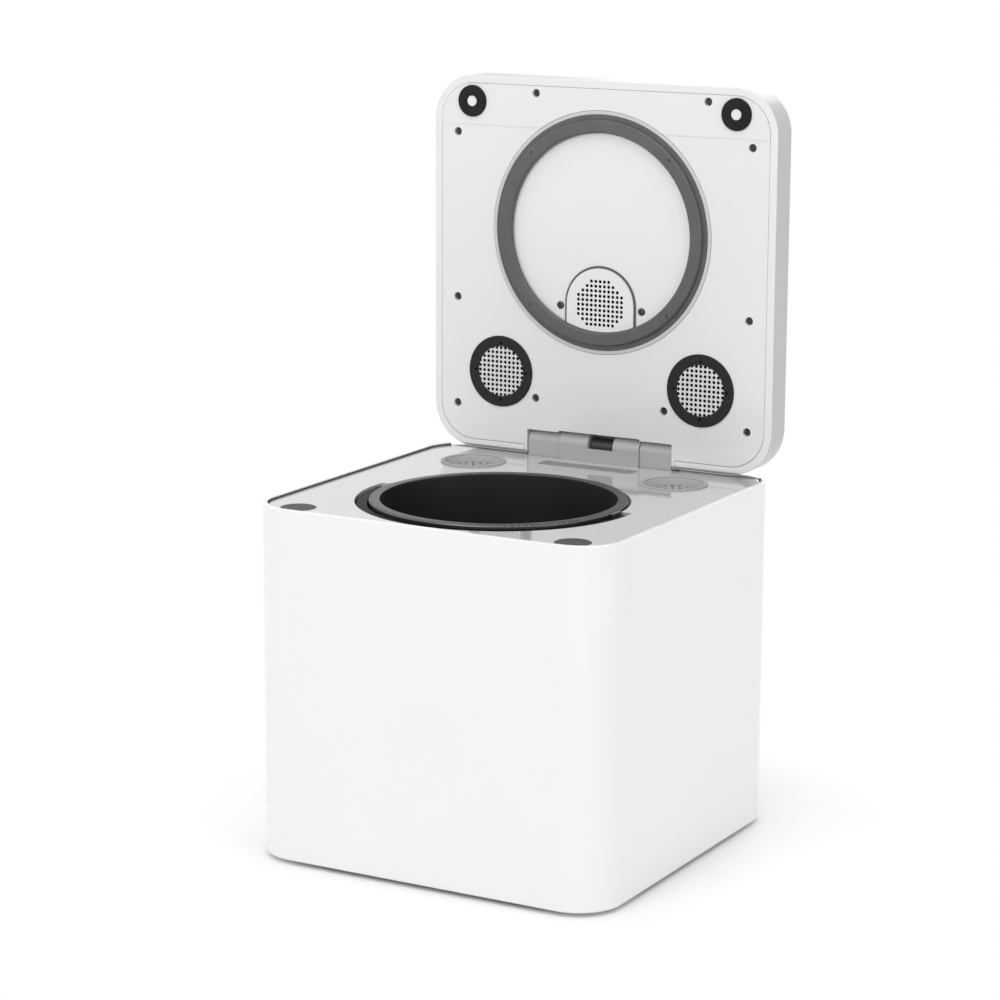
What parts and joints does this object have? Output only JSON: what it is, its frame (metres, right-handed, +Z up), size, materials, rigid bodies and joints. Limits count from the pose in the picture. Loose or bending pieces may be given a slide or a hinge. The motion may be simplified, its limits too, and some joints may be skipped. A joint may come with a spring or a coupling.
{
  "type": "food waste composter",
  "caption": "Rounded-cube countertop food composter with its flat lid standing open, a lift-out bucket with a folded bail handle and stirring arms, and a geared drive underneath.",
  "frame": {"origin": "on the floor under the middle of the square body", "axes": "+Z up, the front of the body faces -Y, the hinge runs along X at the rear"},
  "size_m": [0.27, 0.2782, 0.5175],
  "materials": {
    "aluminium": "plain aluminium",
    "bezel_grey": "dark grey moulding",
    "black": "matte black moulding",
    "board_green": "circuit board",
    "brass": "brass",
    "carbon": "carbon filter pad in a fleece wrap",
    "coated_aluminium": "dark non-stick coating on aluminium",
    "damper_grey": "dark grey damper body",
    "deck_gloss": "glossy light grey moulding",
    "disc_white": "satin white moulding",
    "duct_grey": "grey moulding",
    "foot_rubber": "dark rubber",
    "gear_white": "natural acetal",
    "handle_grey": "dark grey moulding",
    "hinge_grey": "mid grey moulding",
    "lid_white": "satin white moulding",
    "light": "clear light guide",
    "mesh_grey": "light grey perforated moulding",
    "motor_steel": "zinc-plated steel can",
    "pad_grey": "dark grey soft pad",
    "seal_grey": "dark grey silicone",
    "seal_white": "white silicone",
    "stainless": "brushed stainless steel",
    "steel": "bright steel",
    "well_grey": "light grey moulding",
    "white_gloss": "glossy white moulding",
    "wool": "felted insulation"
  },
  "bodies": {
    "body": {"outer_shell": "white_gloss", "base_pan": "hinge_grey", "feet": "foot_rubber", "base_screws": "steel", "rear_panel": "well_grey", "rear_screws": "steel", "power_inlet": "black", "main_board": "board_green", "rear_ledge": "black", "top_deck": "deck_gloss", "strike_pads": "pad_grey", "cable_cover": "well_grey", "port_grilles": "mesh_grey", "port_seals": "seal_white", "hinge_block": "hinge_grey", "hinge_damper": "damper_grey", "hinge_caps": "hinge_grey", "hinge_pins": "steel", "well_collar": "well_grey", "well_liner": "stainless", "heater_band": "brass", "insulation": "wool", "port_ducts": "duct_grey", "collector": "duct_grey", "fan_frame": "black", "gearbox_case": "black", "gearbox_cover": "black", "output_bearings": "steel", "idler_axle": "steel", "motor_housing": "motor_steel"},
    "lid": {"lid_cover": "white_gloss", "lid_panel": "lid_white", "magnet_rings": "pad_grey", "lid_screws": "steel", "seal_carrier": "disc_white", "lid_seal": "seal_grey", "lid_disc": "disc_white", "vent_cover": "disc_white", "vent_seal": "seal_grey", "hinge_brackets": "steel", "control_board": "board_green", "light_ring": "light"},
    "start_button": {"start_button": "white_gloss"},
    "left_filter": {"left_filter_bezel": "bezel_grey", "left_filter_mesh": "mesh_grey", "left_filter_cartridge": "carbon"},
    "right_filter": {"right_filter_bezel": "bezel_grey", "right_filter_mesh": "mesh_grey", "right_filter_cartridge": "carbon"},
    "bucket": {"bucket": "coated_aluminium", "handle_pivots": "steel", "bucket_bushing": "gear_white", "fixed_breakers": "aluminium"},
    "handle": {"handle": "handle_grey"},
    "agitator": {"agitator": "aluminium"},
    "output_drive": {"output_shaft": "steel", "output_wheel": "gear_white"},
    "idler": {"idler_wheel": "gear_white"},
    "motor_shaft": {"motor_pinion": "brass"},
    "fan": {"fan_rotor": "black"}
  },
  "joints": [
    {"name": "lid_hinge", "type": "hinge", "parent": "body", "child": "lid", "pos_m": [0, 0.1262, 0.2563], "axis": [-1, 0, 0], "range_deg": [-90, 0]},
    {"name": "button_press", "type": "slide", "parent": "lid", "child": "start_button", "axis": [0, -1, 0], "range_m": [0, 0.001], "stiffness_N_per_m": 400},
    {"name": "left_filter_lift", "type": "slide", "parent": "lid", "child": "left_filter", "axis": [0, -1, 0], "range_m": [0, 0.06]},
    {"name": "right_filter_lift", "type": "slide", "parent": "lid", "child": "right_filter", "axis": [0, -1, 0], "range_m": [0, 0.06]},
    {"name": "bucket_lift", "type": "slide", "parent": "body", "child": "bucket", "axis": [0, 0, 1], "range_m": [0, 0.2]},
    {"name": "handle_swing", "type": "hinge", "parent": "bucket", "child": "handle", "pos_m": [0, -0.028, 0.239], "axis": [-1, 0, 0], "range_deg": [0, 90]},
    {"name": "agitator_spin", "type": "hinge", "parent": "bucket", "child": "agitator", "pos_m": [0, -0.028, 0.13], "axis": [0, 0, 1], "continuous": true},
    {"name": "output_spin", "type": "hinge", "parent": "body", "child": "output_drive", "pos_m": [0, -0.028, 0.046], "axis": [0, 0, 1], "continuous": true},
    {"name": "idler_spin", "type": "hinge", "parent": "body", "child": "idler", "pos_m": [0.02893, 0.00647, 0.05], "axis": [0, 0, 1], "continuous": true},
    {"name": "motor_spin", "type": "hinge", "parent": "body", "child": "motor_shaft", "pos_m": [0.03544, 0.0434, 0.05], "axis": [0, 0, 1], "continuous": true},
    {"name": "fan_spin", "type": "hinge", "parent": "body", "child": "fan", "pos_m": [0, 0.115, 0.17], "axis": [0, 1, 0], "continuous": true}
  ],
  "couplings": [
    {"joint": "output_spin", "follows": "agitator_spin", "ratio": 1},
    {"joint": "idler_spin", "follows": "agitator_spin", "ratio": -4},
    {"joint": "motor_spin", "follows": "agitator_spin", "ratio": 16}
  ]
}
